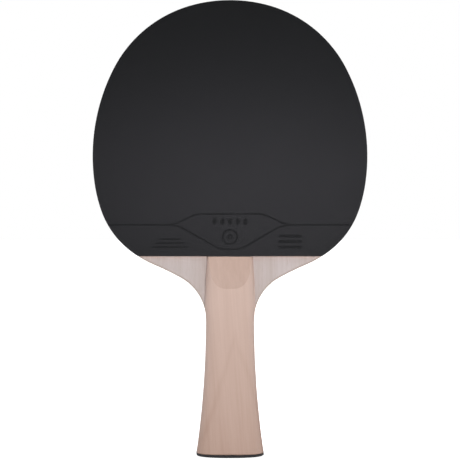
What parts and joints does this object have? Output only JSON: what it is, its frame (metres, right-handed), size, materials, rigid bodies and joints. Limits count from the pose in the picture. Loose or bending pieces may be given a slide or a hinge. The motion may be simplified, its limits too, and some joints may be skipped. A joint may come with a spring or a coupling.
{
  "type": "table tennis paddle",
  "caption": "Table tennis paddle with a laminated wood blade, smooth black and red rubber sheets on sponge, a flared wooden handle and a thin black butt cap",
  "frame": {"origin": "middle of the grip, on the blade's middle plane", "axes": "+Z runs along the handle from the butt to the tip of the head, X runs across the face, and -Y comes out of the black front playing face"},
  "size_m": [0.1502, 0.025, 0.2494],
  "materials": {
    "core_wood": "raw edge, fine grain",
    "inner_veneer": "raw edge, slightly darker than the core",
    "outer_veneer": "sanded, unvarnished, straight grain along the handle",
    "sponge": "fine matt foam",
    "black_sheet": "smooth with a soft sheen",
    "red_sheet": "smooth with a soft sheen",
    "handle_wood": "sanded smooth, pale pinkish wood with straight grain",
    "cap_plastic": "satin black"
  },
  "bodies": {
    "root": {"core_ply": "core_wood", "inner_ply_front": "inner_veneer", "inner_ply_back": "inner_veneer", "outer_ply_front": "outer_veneer", "outer_ply_back": "outer_veneer", "sponge_front": "sponge", "sponge_back": "sponge", "topsheet_front": "black_sheet", "topsheet_back": "red_sheet", "handle_scale_front": "handle_wood", "handle_scale_back": "handle_wood", "end_cap": "cap_plastic"}
  },
  "joints": []
}
